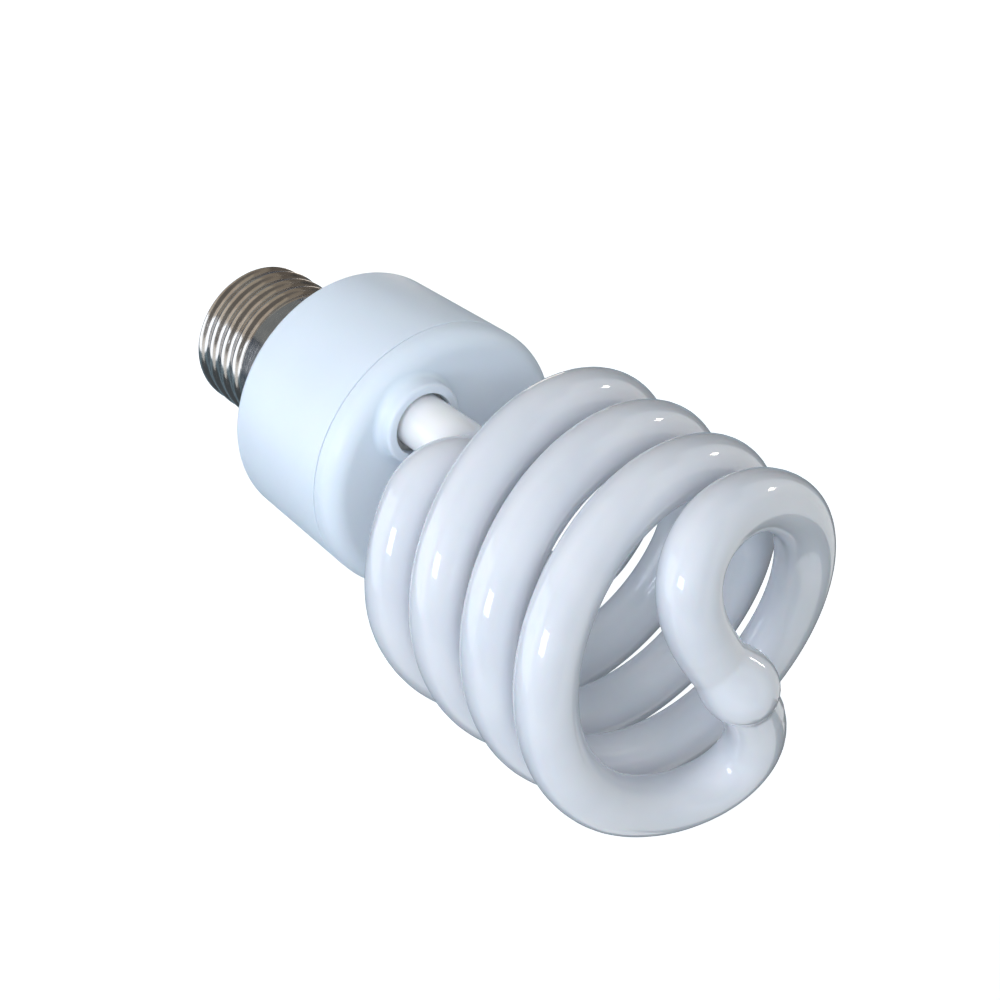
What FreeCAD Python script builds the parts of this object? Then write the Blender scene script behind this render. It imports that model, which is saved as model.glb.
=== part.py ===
import FreeCAD, Part
import math
import os
import re
import Sketcher

Vector = FreeCAD.Vector

# Spiral energy saving bulb with a medium screw cap, in millimetres.
# The origin is the end of the centre contact, and +Z runs along the axis to the top of the glass.

SIZES = {
    # Screw cap
    "cap_height": 27.0,
    "shell_start": 6.2,
    "shell_cone": 2.2,
    "shell_sheet": 0.35,
    "shell_mouth": 19.2,
    "skirt_swell": 0.7,
    "skirt_height": 2.6,
    "skirt_step": 0.8,
    "thread_diameter": 26.3,
    "thread_depth": 1.05,
    "thread_foot": 3.2,
    "thread_crest": 1.2,
    "thread_pitch": 3.629,
    "thread_start": 9.4,
    "thread_end_gap": 0.4,
    "contact_diameter": 9.6,
    "contact_face": 6.4,
    "contact_height": 1.8,
    "contact_round": 0.8,
    "rivet_diameter": 2.4,
    "rivet_length": 2.6,
    "insulator_lip": 0.5,
    "insulator_web": 3.4,
    "insulator_rim": 1.2,
    # Housing body
    "fit_gap": 0.1,
    "spigot_wall": 1.5,
    "lead_room": 3.4,
    "neck_step": 0.9,
    "cone_height": 9.0,
    "seam_diameter": 46.9,
    "housing_taper": 1.3,
    "rear_round": 1.0,
    "body_length": 23.5,
    "housing_wall": 1.6,
    "rib_width": 1.4,
    "rib_depth": 1.2,
    "rib_start": 3.0,
    "rib_count": 3,
    # Housing cover
    "lip_depth": 3.0,
    "lip_wall": 1.2,
    "cover_height": 4.7,
    "cover_round": 3.2,
    "collar_height": 3.0,
    "collar_wall": 1.45,
    "collar_bore": 11.3,
    "collar_skirt": 1.5,
    "collar_round": 0.6,
    # Glass tube
    "tube_shift": 2.0,
    "tube_diameter": 9.2,
    "crown_diameter": 8.1,
    "coil_radius": 25.1,
    "coil_pitch": 24.0,
    "coil_start": 18.9,
    "coil_start_angle": 288.0,
    "coil_end_angle": 908.3,
    "coil_step": 45.0,
    "leg_across": 5.3,
    "leg_depth": 13.0,
    "leg_end_gap": 1.5,
    "elbow_rise": 0.1,
    "bend_inset": 1.4,
    "bend_lead": 18.5,
    "bend_drop": 0.9,
    "crown_height": 7.35,
    "crown_reach": 18.3,
    "crown_slope": 0.86,
    "crown_steps": 5,
    "tip_diameter": 11.0,
    "tip_rise": 2.25,
    "cement_depth": 4.2,
    "cement_gap": 0.05,
    # Circuit board and what it carries
    "board_thickness": 1.6,
    "board_gap": 0.5,
    "capacitor_diameter": 12.5,
    "capacitor_length": 22.0,
    "capacitor_crimp": 0.5,
    "capacitor_seal": 2.4,
    "choke_width": 16.0,
    "choke_height": 13.0,
    "choke_thickness": 4.8,
    "choke_side": 2.3,
    "choke_yoke": 2.0,
    "choke_leg": 4.0,
    "choke_foot": 1.6,
    "choke_gap": 0.15,
    "bobbin_wall": 0.7,
    "bobbin_depth": 9.6,
    "ring_diameter": 9.0,
    "ring_bore": 5.2,
    "ring_width": 3.0,
    "ring_wire": 0.5,
    "ring_gap": 0.1,
    "ring_span": 55.0,
    "transistor_width": 8.0,
    "transistor_thickness": 2.7,
    "transistor_height": 10.8,
    "transistor_drop": 2.6,
    "transistor_hole": 3.2,
    "transistor_leads": 2.3,
    "transistor_lead": 0.7,
    "resonance_width": 12.0,
    "resonance_thickness": 5.4,
    "resonance_height": 10.0,
    "coupling_width": 3.6,
    "coupling_thickness": 6.6,
    "coupling_height": 8.0,
    "film_round": 0.8,
    "filter_diameter": 6.0,
    "filter_height": 8.0,
    "filter_flange": 1.0,
    "filter_waist": 0.5,
    "diode_diameter": 2.7,
    "diode_length": 5.2,
    "fuse_diameter": 3.4,
    "fuse_length": 9.0,
    "resistor_diameter": 2.3,
    "resistor_length": 6.0,
    "lead_diameter": 0.8,
    "tube_lead_diameter": 0.5,
    "tube_lead_spread": 3.0,
    "tube_lead_drop": 2.2,
    "pin_size": 1.0,
    "pin_height": 4.0,
    "pin_hole": 1.6,
    "pin_offset": 3.9,
    # Places on the board, measured from the lamp's axis
    "capacitor_x": 0.0,
    "capacitor_y": -1.0,
    "part_gap": 0.3,
    "ring_y": 0.0,
    "diode_x": 9.8,
    "diode_y": 5.2,
    "diode_spacing": 3.0,
    "fuse_x": 8.6,
    "fuse_y": -7.6,
    "resistor_1_x": 12.0,
    "resistor_1_y": -7.2,
    "resistor_2_x": 9.8,
    "resistor_2_y": -11.0,
    "shell_lead_x": 7.0,
    "shell_lead_y": 5.6,
    "contact_lead_x": -6.6,
    "contact_lead_y": 5.3,
    "contact_lead_rise": 10.4,
    "contact_lead_gap": 0.4,
    "shell_lead_gap": 0.45,
    "shell_lead_rise": 3.0,
}

# Radii and levels that several pieces share, as expressions of the sizes
SHELL_RADIUS = "(thread_diameter / 2 - thread_depth)"
SHELL_BORE = "(thread_diameter / 2 - thread_depth - shell_sheet)"
SPIGOT_RADIUS = "(thread_diameter / 2 - thread_depth - shell_sheet - fit_gap)"
SPIGOT_BORE = "(thread_diameter / 2 - thread_depth - shell_sheet - fit_gap - spigot_wall)"
SKIRT_RADIUS = "(thread_diameter / 2 - thread_depth + skirt_swell)"
SKIRT_LEVEL = "(cap_height - skirt_height)"
INSULATOR_TOP = "(shell_start + shell_cone + insulator_rim)"
SPIGOT_END = "(shell_start + shell_cone + insulator_rim + lead_room)"
REAR_RADIUS = "(seam_diameter / 2 - housing_taper / 2)"
REAR_LEVEL = "(cap_height + cone_height)"
SEAM_LEVEL = "(cap_height + cone_height + body_length)"
LIP_RADIUS = "(seam_diameter / 2 - housing_wall - fit_gap)"
LIP_END = "(cap_height + cone_height + body_length - lip_depth)"
COVER_TOP = "(cap_height + cone_height + body_length + cover_height)"
COVER_UNDERSIDE = "(cap_height + cone_height + body_length + cover_height - housing_wall)"
BOARD_BOTTOM = "(cap_height + cone_height + body_length - lip_depth - fit_gap - board_thickness)"

# Places of the large parts round the main capacitor, each a small gap from its neighbour
NEAR_SIDE = "(capacitor_y - capacitor_diameter / 2 - part_gap)"
LEFT_SIDE = "(capacitor_x - capacitor_diameter / 2 - part_gap)"
RIGHT_SIDE = "(capacitor_x + capacitor_diameter / 2 + part_gap)"
CHOKE_PLACE = ("capacitor_x", "(capacitor_y + capacitor_diameter / 2 + part_gap + bobbin_depth / 2)")
RING_PLACE = (LEFT_SIDE + " - ring_diameter / 2 - ring_gap - ring_wire", "ring_y")
RESONANCE_PLACE = ("capacitor_x", NEAR_SIDE + " - resonance_thickness / 2")
COUPLING_PLACE = (
    "(capacitor_x - resonance_width / 2 - part_gap - coupling_width / 2)",
    NEAR_SIDE + " - coupling_thickness / 2 + 3 * part_gap",
)
TRANSISTOR_PLACES = (
    (RIGHT_SIDE + " + transistor_thickness / 2", "capacitor_y"),
    (RIGHT_SIDE + " + transistor_thickness * 3 / 2 + 3 * part_gap", "capacitor_y"),
)
FILTER_PLACE = (
    "(capacitor_x - choke_width / 2 - part_gap - filter_diameter / 2)",
    "(ring_y + ring_diameter / 2 + ring_gap + ring_wire + part_gap + filter_diameter / 2)",
)

doc = FreeCAD.newDocument("SpiralLamp")
sheet = doc.addObject("Spreadsheet::Sheet", "Sizes")
for row, (alias, value) in enumerate(SIZES.items(), start=1):
    sheet.set("A%d" % row, alias)
    sheet.set("B%d" % row, str(value))
    sheet.setAlias("B%d" % row, alias)
doc.recompute()

parts = []


def size(alias):
    return float(sheet.get(alias))


def on_sheet(text):
    """Turns an expression of plain size names into one that reads the sheet's cells."""
    return re.sub(r"[a-z]\w*", lambda word: "Sizes." + word[0] if word[0] in SIZES else word[0], text)


def bind(thing, **expressions):
    for name, text in expressions.items():
        thing.setExpression(name, on_sheet(text))


def put(thing, across="0", depth="0", height="0"):
    for axis, text in (("x", across), ("y", depth), ("z", height)):
        thing.setExpression("Placement.Base." + axis, on_sheet(text))


def keep(thing, label):
    """Marks an object as a finished piece of the lamp."""
    thing.Label = label
    parts.append(thing)
    return thing


def new_body(label):
    return keep(doc.addObject("PartDesign::Body", label + "_body"), label)


def new_sketch(body, role="XY_Plane", level="0"):
    sketch = body.newObject("Sketcher::SketchObject", body.Name + "_sketch")
    plane = next(plane for plane in body.Origin.OriginFeatures if plane.Role == role)
    sketch.AttachmentSupport = [(plane, "")]
    sketch.MapMode = "FlatFace"
    sketch.setExpression("AttachmentOffset.Base.z", on_sheet(level))
    return sketch


def hold_point(sketch, curve, end, across, along):
    """Holds one point of a sketch at its distances from the origin."""
    for kind, text in (("DistanceX", across), ("DistanceY", along)):
        index = sketch.addConstraint(Sketcher.Constraint(kind, -1, 1, curve, end, 1.0))
        sketch.setExpression("Constraints[%d]" % index, on_sheet(text))


def draw_outline(sketch, points):
    """A closed outline of straight lines through the points."""
    first = sketch.GeometryCount
    count = len(points)
    for index in range(count):
        start = Vector(10 + index, 10 + index % 3, 0)
        stop = Vector(11 + index, 10 + (index + 1) % 3, 0)
        sketch.addGeometry(Part.LineSegment(start, stop))
    for index in range(count):
        following = first + (index + 1) % count
        sketch.addConstraint(Sketcher.Constraint("Coincident", first + index, 2, following, 1))
    for index, (across, along) in enumerate(points):
        hold_point(sketch, first + index, 1, across, along)


def draw_rectangle(sketch, width, depth, across="0", along="0"):
    left = "%s - %s / 2" % (across, width)
    right = "%s + %s / 2" % (across, width)
    low = "%s - %s / 2" % (along, depth)
    high = "%s + %s / 2" % (along, depth)
    draw_outline(sketch, [(left, low), (right, low), (right, high), (left, high)])


def draw_circle(sketch, radius, across="0", along="0"):
    curve = sketch.addGeometry(Part.Circle(Vector(1, 1, 0), Vector(0, 0, 1), 2))
    hold_point(sketch, curve, 3, across, along)
    index = sketch.addConstraint(Sketcher.Constraint("Radius", curve, 2.0))
    sketch.setExpression("Constraints[%d]" % index, on_sheet(radius))


def add_feature(body, kind, **expressions):
    feature = body.newObject("PartDesign::" + kind, body.Name + "_" + kind.lower())
    bind(feature, **expressions)
    body.Tip = feature
    return feature


def revolve(body, *outlines, angle="360"):
    """Turns outlines of radius and height about the body's own Z axis."""
    sketch = new_sketch(body, "XZ_Plane")
    for points in outlines:
        draw_outline(sketch, points)
    turned = add_feature(body, "Revolution", Angle=angle)
    turned.Profile = sketch
    turned.ReferenceAxis = (sketch, ["V_Axis"])
    doc.recompute()
    return turned


def pad(body, sketch, length):
    raised = add_feature(body, "Pad", Length=length)
    raised.Profile = sketch
    doc.recompute()
    return raised


def pocket_through(body, sketch):
    cut = add_feature(body, "Pocket")
    cut.Profile = sketch
    cut.Type = "ThroughAll"
    cut.Midplane = True
    doc.recompute()
    return cut


def fillet(body, chosen, radius):
    """Rounds the edges of the body's last feature for which the test holds."""
    base = body.Tip
    edges = enumerate(base.Shape.Edges, start=1)
    names = ["Edge%d" % index for index, edge in edges if chosen(edge)]
    rounded = add_feature(body, "Fillet", Radius=radius)
    rounded.Base = (base, names)
    doc.recompute()
    return rounded


def is_round(edge, radius, level):
    if not isinstance(edge.Curve, Part.Circle):
        return False
    return abs(edge.Curve.Radius - radius) < 0.01 and abs(edge.Curve.Center.z - level) < 0.01


def is_upright(edge):
    ends = edge.Vertexes
    return abs(ends[0].Z - ends[-1].Z) > 0.01


# Screw cap

def make_screw_shell():
    """Thin brass shell: a rolled-in mouth, a threaded wall and a plain skirt at the housing."""
    body = new_body("screw_shell")
    cone_end = "shell_start + shell_cone"
    skirt_start = SKIRT_LEVEL + " + skirt_step"
    skirt_bore = SKIRT_RADIUS + " - shell_sheet"
    revolve(body, [
        ("shell_mouth / 2", "shell_start"),
        (SHELL_RADIUS, cone_end),
        (SHELL_RADIUS, SKIRT_LEVEL),
        (SKIRT_RADIUS, skirt_start),
        (SKIRT_RADIUS, "cap_height"),
        (skirt_bore, "cap_height"),
        (skirt_bore, skirt_start),
        (SHELL_BORE, SKIRT_LEVEL),
        (SHELL_BORE, cone_end),
        ("shell_mouth / 2 - shell_sheet", "shell_start"),
    ])
    profile = new_sketch(body, "XZ_Plane")
    root = SHELL_RADIUS + " - shell_sheet / 2"
    draw_outline(profile, [
        (root, "thread_start - thread_foot / 2"),
        ("thread_diameter / 2", "thread_start - thread_crest / 2"),
        ("thread_diameter / 2", "thread_start + thread_crest / 2"),
        (root, "thread_start + thread_foot / 2"),
    ])
    rise = SKIRT_LEVEL + " - thread_end_gap - thread_foot / 2 - thread_start"
    thread = add_feature(body, "AdditiveHelix", Pitch="thread_pitch", Height=rise)
    thread.Profile = profile
    thread.ReferenceAxis = (profile, ["V_Axis"])
    thread.Mode = "pitch-height-angle"
    doc.recompute()


def make_base_insulator():
    """Dished glass insulator that fills the shell's mouth and carries the centre contact."""
    body = new_body("base_insulator")
    mouth = "shell_mouth / 2 - shell_sheet - fit_gap"
    wall = SHELL_BORE + " - fit_gap"
    cone_end = "shell_start + shell_cone"
    web = "contact_height + insulator_web"
    revolve(body, [
        ("rivet_diameter / 2", "contact_height"),
        ("contact_diameter / 2 + insulator_lip", "contact_height"),
        (mouth, "shell_start"),
        (wall, cone_end),
        (wall, INSULATOR_TOP),
        (wall + " - spigot_wall", INSULATOR_TOP),
        ("contact_diameter / 2", web),
        ("rivet_diameter / 2", web),
    ])


def make_centre_contact():
    """Contact plate with a rivet through the insulator."""
    body = new_body("centre_contact")
    stem = "rivet_diameter / 2 - fit_gap"
    revolve(body, [
        ("0", "0"),
        ("contact_face / 2", "0"),
        ("contact_diameter / 2", "contact_round"),
        ("contact_diameter / 2", "contact_height"),
        (stem, "contact_height"),
        (stem, "contact_height + rivet_length"),
        ("0", "contact_height + rivet_length"),
    ])


# Housing

def make_housing_body():
    """Hollow body with a spigot inside the screw shell and three ribs for the circuit board."""
    body = new_body("housing_body")
    seat = SKIRT_RADIUS + " - shell_sheet - fit_gap"
    inner_rear = REAR_RADIUS + " - housing_wall"
    revolve(body, [
        (SPIGOT_RADIUS, SPIGOT_END),
        (SPIGOT_RADIUS, SKIRT_LEVEL),
        (seat, SKIRT_LEVEL + " + skirt_step"),
        (seat, "cap_height"),
        (SKIRT_RADIUS + " + neck_step", "cap_height"),
        (REAR_RADIUS, REAR_LEVEL),
        ("seam_diameter / 2", SEAM_LEVEL),
        ("seam_diameter / 2 - housing_wall", SEAM_LEVEL),
        (inner_rear, REAR_LEVEL + " + housing_wall"),
        (SPIGOT_BORE, "cap_height + housing_wall"),
        (SPIGOT_BORE, SPIGOT_END),
    ])
    rear_level = size("cap_height") + size("cone_height")
    rear_radius = (size("seam_diameter") - size("housing_taper")) / 2
    fillet(body, lambda edge: is_round(edge, rear_radius, rear_level), "rear_round")
    ribs = new_sketch(body, "XY_Plane", REAR_LEVEL + " + rib_start")
    outer = "seam_diameter / 2 - housing_wall / 2"
    inner = inner_rear + " - rib_depth"
    draw_outline(ribs, [
        (inner, "-rib_width / 2"),
        (outer + " - housing_wall / 4", "-rib_width / 2"),
        (outer + " - housing_wall / 4", "rib_width / 2"),
        (inner, "rib_width / 2"),
    ])
    rib = pad(body, ribs, BOARD_BOTTOM + " - " + REAR_LEVEL + " - rib_start")
    pattern = body.newObject("PartDesign::PolarPattern", "board_ribs")
    pattern.Originals = [rib]
    pattern.Axis = (ribs, ["N_Axis"])
    pattern.Angle = 360
    bind(pattern, Occurrences="rib_count")
    body.Tip = pattern
    doc.recompute()


# The two legs stand opposite each other about the tube's own axis
LEGS = (
    ("tube_shift - leg_across", "-leg_depth", -1),
    ("tube_shift + leg_across", "leg_depth", 1),
)


def make_housing_cover():
    """Rounded cover with a lip inside the body and a raised collar round each leg of the tube."""
    body = new_body("housing_cover")
    lip_bore = LIP_RADIUS + " - lip_wall"
    revolve(body, [
        ("0", COVER_UNDERSIDE),
        (lip_bore, COVER_UNDERSIDE),
        (lip_bore, LIP_END),
        (LIP_RADIUS, LIP_END),
        (LIP_RADIUS, SEAM_LEVEL),
        ("seam_diameter / 2", SEAM_LEVEL),
        ("seam_diameter / 2", COVER_TOP),
        ("0", COVER_TOP),
    ])
    top = size("cap_height") + size("cone_height") + size("body_length") + size("cover_height")
    fillet(body, lambda edge: is_round(edge, size("seam_diameter") / 2, top), "cover_round")
    collars = new_sketch(body, "XY_Plane", COVER_UNDERSIDE + " - collar_skirt")
    for across, depth, _ in LEGS:
        draw_circle(collars, "collar_bore / 2 + collar_wall", across, depth)
    pad(body, collars, "collar_skirt + housing_wall + collar_height")
    collar_radius = size("collar_bore") / 2 + size("collar_wall")
    collar_top = top + size("collar_height")
    fillet(body, lambda edge: is_round(edge, collar_radius, collar_top), "collar_round")
    bores = new_sketch(body, "XY_Plane", COVER_UNDERSIDE)
    for across, depth, _ in LEGS:
        draw_circle(bores, "collar_bore / 2", across, depth)
    pocket_through(body, bores)


# Glass tube

def turned(point):
    """The same point on the other arm, half a turn about the tube's axis."""
    return Vector(-point.x, -point.y, point.z)


def polar(radius, angle, height):
    return Vector(radius * math.cos(math.radians(angle)), radius * math.sin(math.radians(angle)), height)


def route(points):
    """Straight runs joined by tangent arcs, each as large as its two runs allow."""
    edges = []
    runs = [(after - before).Length for before, after in zip(points, points[1:])]
    last = points[0]
    for index in range(1, len(points) - 1):
        corner = points[index]
        arriving = (corner - points[index - 1]).normalize()
        leaving = (points[index + 1] - corner).normalize()
        turn = arriving.getAngle(leaving)
        before = runs[index - 1] * (1.0 if index == 1 else 0.5)
        after = runs[index] * (1.0 if index == len(points) - 2 else 0.5)
        reach = min(before, after)
        radius = reach / math.tan(turn / 2)
        start = corner - arriving * reach
        stop = corner + leaving * reach
        inward = (leaving - arriving).normalize()
        middle = corner + inward * (radius / math.cos(turn / 2) - radius)
        if (start - last).Length > 1e-4:
            edges.append(Part.LineSegment(last, start).toShape())
        edges.append(Part.Arc(start, middle, stop).toShape())
        last = stop
    if (points[-1] - last).Length > 1e-4:
        edges.append(Part.LineSegment(last, points[-1]).toShape())
    return Part.Wire(edges)


def ring(centre, direction, diameter):
    return Part.Wire([Part.Circle(centre, direction, diameter / 2).toShape()])


def arm_points():
    """Corners of one arm: up the leg, out to the coil and round it, to where the crown begins."""
    cover_underside = cover_top() - size("housing_wall")
    coil_start = cover_top() + size("coil_start")
    first, last = size("coil_start_angle"), size("coil_end_angle")
    radius = size("coil_radius")
    leg = Vector(-size("leg_across"), -size("leg_depth"), cover_underside - size("leg_end_gap"))
    elbow = Vector(leg.x, leg.y, coil_start + size("elbow_rise"))
    bend_angle = first - size("bend_lead")
    bend = polar(radius - size("bend_inset"), bend_angle, coil_start - size("bend_drop"))
    count = round((last - first) / size("coil_step"))
    step = (last - first) / count
    points = [leg, elbow, bend]
    for index in range(count):
        angle = first + (index + 0.5) * step
        height = coil_start + size("coil_pitch") * (angle - first) / 360
        points.append(polar(radius / math.cos(math.radians(step / 2)), angle, height))
    return points


def crown_points():
    """Corners of half the crown, a half ellipse from the coil's end to the lamp's top."""
    last = size("coil_end_angle")
    half = size("coil_radius") / 2
    turns = (last - size("coil_start_angle")) / 360
    low = cover_top() + size("coil_start") + size("coil_pitch") * turns
    high = low + size("crown_height")
    slope = size("crown_slope") * size("coil_pitch") / 4
    count = round(size("crown_steps"))
    outside = 1 / math.cos(math.pi / 2 / count)
    points = []
    for index in range(count):
        share = (index + 0.5) / count
        along = half + half * outside * math.cos(math.pi * share)
        aside = size("crown_reach") * outside * math.sin(math.pi * share)
        rise = share * share * (3 - 2 * share)
        lead = share * (1 - share) * (1 - share)
        point = Vector(along, aside, low + (high - low) * rise + slope * lead)
        turn = FreeCAD.Rotation(Vector(0, 0, 1), last)
        points.append(turn.multVec(point))
    return points


def cover_top():
    return size("cap_height") + size("cone_height") + size("body_length") + size("cover_height")


def make_spiral_tube():
    """One sealed glass tube: two legs, two coiled arms and a crown with a bead at its middle."""
    arm = arm_points()
    crown = crown_points()
    join = (arm[-1] + crown[0]) * 0.5
    crown_path = [join] + crown + [turned(point) for point in reversed(crown)] + [turned(join)]
    tube = size("tube_diameter")
    foot = ring(arm[0], Vector(0, 0, 1), tube)
    near_arm = route(arm + [join]).makePipeShell([foot], True, False)
    far_arm = near_arm.copy()
    far_arm.rotate(Vector(0, 0, 0), Vector(0, 0, 1), 180)
    middle = Vector(0, 0, crown[-1].z)
    sections = [
        ring(join, crown[0] - join, tube),
        ring(middle, turned(crown[-1]) - crown[-1], size("crown_diameter")),
        ring(turned(join), turned(join) - turned(crown[0]), tube),
    ]
    top = route(crown_path).makePipeShell(sections, True, False)
    bead = Part.makeSphere(size("tip_diameter") / 2, middle + Vector(0, 0, size("tip_rise")))
    glass = doc.addObject("Part::Feature", "spiral_tube")
    glass.Shape = near_arm.multiFuse([top, far_arm, bead]).Solids[0]
    put(glass, "tube_shift")
    keep(glass, "spiral_tube")


def make_tube_cement():
    """A ring of cement fixes each leg of the tube in its collar."""
    for across, depth, side in LEGS:
        label = "tube_cement_near" if side < 0 else "tube_cement_far"
        body = new_body(label)
        section = new_sketch(body)
        draw_circle(section, "collar_bore / 2 - cement_gap")
        draw_circle(section, "tube_diameter / 2 + cement_gap")
        pad(body, section, "cement_depth")
        put(body, across, depth, COVER_UNDERSIDE + " - collar_skirt")


# Circuit board and what it carries. Each part below hangs from its own origin on the board.
# Two pins stand next to each leg, on the side of the lamp's axis.
PINS = []
for leg_across, leg_along, leg_side in LEGS:
    inward = "%s %s pin_offset" % (leg_along, "+" if leg_side < 0 else "-")
    PINS.append((leg_across + " - tube_lead_spread / 2", inward))
    PINS.append((leg_across + " + tube_lead_spread / 2", inward))


def make_circuit_board():
    """Round board with a hole for each wrap pin."""
    body = new_body("circuit_board")
    section = new_sketch(body)
    draw_circle(section, "seam_diameter / 2 - housing_wall - board_gap")
    for across, depth in PINS:
        draw_circle(section, "pin_hole / 2", across, depth)
    pad(body, section, "board_thickness")
    put(body, height=BOARD_BOTTOM)


def make_wrap_pins():
    """Square pins through the board, which the tube's leads are wound on."""
    for number, (across, depth) in enumerate(PINS, start=1):
        pin = doc.addObject("Part::Box", "wrap_pin_%d" % number)
        bind(pin, Length="pin_size", Width="pin_size", Height="board_thickness + pin_height")
        corner = ("%s - pin_size / 2" % across, "%s - pin_size / 2" % depth)
        put(pin, *corner, BOARD_BOTTOM)
        keep(pin, "wrap_pin_%d" % number)


def hang(body, across, depth):
    put(body, across, depth, BOARD_BOTTOM)


def make_main_capacitor():
    """Can with a crimp round the seal next to the board."""
    body = new_body("main_capacitor")
    wall = "capacitor_diameter / 2"
    waist = wall + " - capacitor_crimp"
    revolve(body, [
        ("0", "0"),
        (waist, "0"),
        (wall, "-capacitor_crimp"),
        (wall, "-capacitor_seal + capacitor_crimp"),
        (waist, "-capacitor_seal"),
        (wall, "-capacitor_seal - capacitor_crimp"),
        (wall, "-capacitor_length + capacitor_crimp"),
        (waist, "-capacitor_length"),
        ("0", "-capacitor_length"),
    ])
    hang(body, "capacitor_x", "capacitor_y")


def add_plate(body, width, depth, start, length, hole=None, along="0"):
    """Raises a rectangular plate, with a rectangular hole if one is given."""
    section = new_sketch(body, "XY_Plane", start)
    draw_rectangle(section, width, depth, "0", along)
    if hole:
        draw_rectangle(section, *hole)
    return pad(body, section, length)


def make_choke():
    """Current-limiting choke: a ferrite core with two windows, a bobbin and its winding."""
    core = new_body("choke_core")
    frame = new_sketch(core, "XZ_Plane", "-choke_thickness / 2")
    draw_rectangle(frame, "choke_width", "choke_height", "0", "-choke_foot - choke_height / 2")
    window = "(choke_width - 2 * choke_side - choke_leg) / 2"
    centre = "(choke_leg / 2 + %s / 2)" % window
    opening = "(choke_height - 2 * choke_yoke)"
    for sign in ("", "-"):
        draw_rectangle(frame, window, opening, sign + centre, "-choke_foot - choke_height / 2")
    pad(core, frame, "choke_thickness")
    hang(core, *CHOKE_PLACE)

    bobbin = new_body("choke_bobbin")
    hole = ["(choke_leg + 2 * choke_gap)", "(choke_thickness + 2 * choke_gap)"]
    barrel = ["(%s + 2 * bobbin_wall)" % side for side in hole]
    flange = "(choke_width - 2 * choke_side - 2 * choke_gap)"
    top = "-choke_foot - choke_yoke - choke_gap"
    length = "(choke_height - 2 * choke_yoke - 2 * choke_gap)"
    add_plate(bobbin, *barrel, "%s - %s" % (top, length), length, hole)
    for start in ("%s - bobbin_wall" % top, "%s - %s" % (top, length)):
        add_plate(bobbin, flange, "bobbin_depth", start, "bobbin_wall", hole)
    foot = "(bobbin_depth / 2 - choke_thickness / 2 - choke_gap)"
    for sign in "-", "":
        along = sign + "(bobbin_depth / 2 - %s / 2)" % foot
        add_plate(bobbin, flange, foot, top, "choke_foot + choke_yoke + choke_gap", along=along)
    hang(bobbin, *CHOKE_PLACE)

    winding = new_body("choke_winding")
    depth = "(bobbin_depth - 4 * choke_gap)"
    inside = ["(%s + 2 * choke_gap)" % side for side in barrel]
    width = "(%s - 2 * choke_gap)" % flange
    start = "%s - %s + bobbin_wall + choke_gap" % (top, length)
    wound_length = length + " - 2 * bobbin_wall - 2 * choke_gap"
    add_plate(winding, width, depth, start, wound_length, inside)
    hang(winding, *CHOKE_PLACE)


def make_drive_transformer():
    """Ferrite ring with three short windings, which switches the two transistors in turn."""
    core = new_body("drive_ring")
    level = "-ring_wire - ring_gap"
    revolve(core, rectangle_points("ring_bore / 2", "ring_diameter / 2", level + " - ring_width", level))
    hang(core, *RING_PLACE)
    bore = "ring_bore / 2 - ring_gap"
    rim = "ring_diameter / 2 + ring_gap"
    low = level + " - ring_width - ring_gap"
    inner = rectangle_points(bore, rim, low, "-ring_wire")
    outer = rectangle_points(bore + " - ring_wire", rim + " + ring_wire", low + " - ring_wire", "0")
    for number in range(3):
        winding = new_body("drive_winding_%d" % (number + 1))
        revolve(winding, outer, inner, angle="ring_span")
        winding.Placement.Rotation = FreeCAD.Rotation(Vector(0, 0, 1), 120 * number)
        hang(winding, *RING_PLACE)


def rectangle_points(inside, outside, low, high):
    return [(inside, low), (outside, low), (outside, high), (inside, high)]


def make_transistors():
    """Two flat plastic transistors that stand off the board on three leads."""
    for number, place in enumerate(TRANSISTOR_PLACES, start=1):
        body = new_body("transistor_%d" % number)
        end = "-transistor_drop - transistor_height"
        add_plate(body, "transistor_thickness", "transistor_width", end, "transistor_height")
        leads = new_sketch(body, "XY_Plane", "-transistor_drop")
        for along in ("-transistor_leads", "0", "transistor_leads"):
            draw_rectangle(leads, "transistor_lead", "transistor_lead", "0", along)
        pad(body, leads, "transistor_drop")
        hole = new_sketch(body, "YZ_Plane")
        draw_circle(hole, "transistor_hole / 2", "0", "-transistor_drop - transistor_height * 2 / 3")
        pocket_through(body, hole)
        hang(body, *place)


def make_film_capacitors():
    """Two dipped film capacitors with rounded edges."""
    for name, place in (("resonance", RESONANCE_PLACE), ("coupling", COUPLING_PLACE)):
        body = new_body(name + "_capacitor")
        height = name + "_height"
        add_plate(body, name + "_width", name + "_thickness", "-" + height, height)
        fillet(body, is_upright, "film_round")
        hang(body, *place)


def make_filter_coil():
    """Drum coil with a flange at each end."""
    body = new_body("filter_coil")
    wall = "filter_diameter / 2"
    waist = wall + " - filter_waist"
    revolve(body, [
        ("0", "0"),
        (wall, "0"),
        (wall, "-filter_flange"),
        (waist, "-filter_flange"),
        (waist, "filter_flange - filter_height"),
        (wall, "filter_flange - filter_height"),
        (wall, "-filter_height"),
        ("0", "-filter_height"),
    ])
    hang(body, *FILTER_PLACE)


def make_rod(label, name, across, depth):
    """A round part that stands under the board."""
    rod = doc.addObject("Part::Cylinder", label)
    bind(rod, Radius=name + "_diameter / 2", Height=name + "_length")
    put(rod, across, depth, BOARD_BOTTOM + " - %s_length" % name)
    keep(rod, label)


def make_diodes():
    """Four rectifier diodes stand in a square."""
    for number in range(4):
        across = "diode_x + %d * diode_spacing" % (number % 2)
        depth = "diode_y + %d * diode_spacing" % (number // 2)
        make_rod("diode_%d" % (number + 1), "diode", across, depth)


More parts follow.
